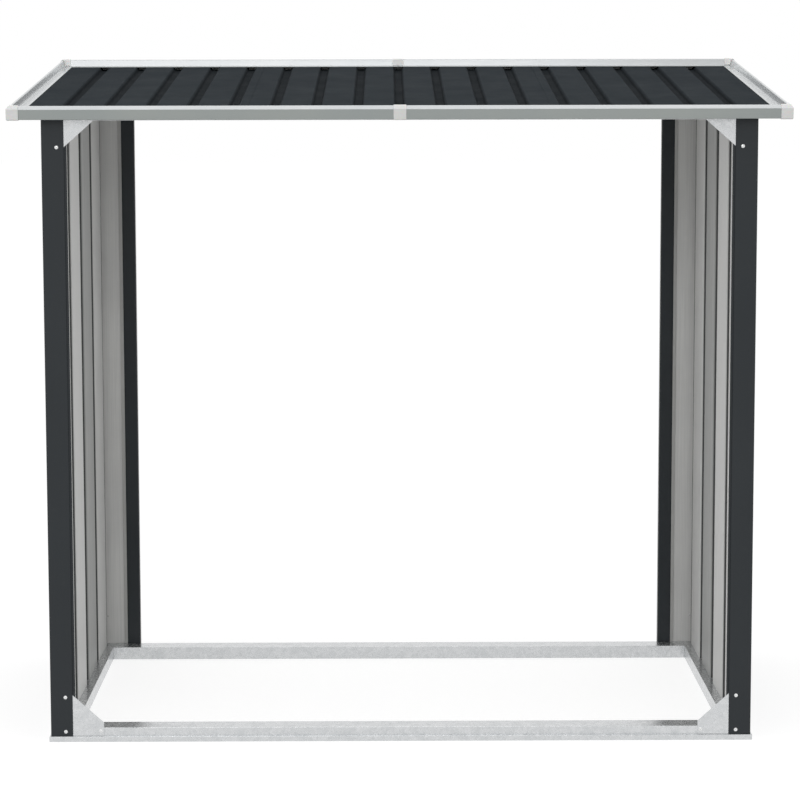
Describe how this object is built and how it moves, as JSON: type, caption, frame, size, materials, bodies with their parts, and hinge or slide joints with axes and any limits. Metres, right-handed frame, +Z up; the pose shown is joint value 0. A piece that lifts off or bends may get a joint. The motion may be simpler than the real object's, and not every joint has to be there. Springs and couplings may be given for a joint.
{
  "type": "log store",
  "caption": "Open-fronted log store of folded sheet steel, with ribbed side walls and a ribbed lean-to roof edged by grey trim.",
  "frame": {"origin": "on the ground, under the middle of the roof", "axes": "+X along the front to the right, +Y from the open front to the back, +Z up"},
  "size_m": [1.72, 0.9095, 1.5399],
  "materials": {
    "dark_grey_paint": "satin polyester coating, fine texture",
    "galvanised": "hot-dip galvanised, faint spangle",
    "light_grey_paint": "satin polyester coating",
    "white_plastic": "moulded, satin"
  },
  "bodies": {
    "root": {"base_rail_front": "galvanised", "base_rail_rear": "galvanised", "base_rail_left": "galvanised", "base_rail_right": "galvanised", "post_front_left": "dark_grey_paint", "post_front_right": "dark_grey_paint", "post_rear_left": "dark_grey_paint", "post_rear_right": "dark_grey_paint", "top_rail_front": "galvanised", "top_rail_rear": "galvanised", "top_rail_left": "galvanised", "top_rail_right": "galvanised", "gusset_bottom_left": "galvanised", "gusset_bottom_right": "galvanised", "gusset_top_left": "galvanised", "gusset_top_right": "galvanised", "wall_panel_left_front": "dark_grey_paint", "wall_panel_left_rear": "dark_grey_paint", "wall_panel_right_front": "dark_grey_paint", "wall_panel_right_rear": "dark_grey_paint", "roof_sheet_left": "dark_grey_paint", "roof_sheet_middle": "dark_grey_paint", "roof_sheet_right": "dark_grey_paint", "roof_trim_front_left": "light_grey_paint", "roof_trim_front_right": "light_grey_paint", "roof_trim_rear_left": "light_grey_paint", "roof_trim_rear_right": "light_grey_paint", "roof_trim_left": "light_grey_paint", "roof_trim_right": "light_grey_paint", "trim_cap_front_left": "white_plastic", "trim_cap_front_right": "white_plastic", "trim_cap_rear_left": "white_plastic", "trim_cap_rear_right": "white_plastic", "trim_connector_front": "white_plastic", "trim_connector_rear": "white_plastic"}
  },
  "joints": []
}
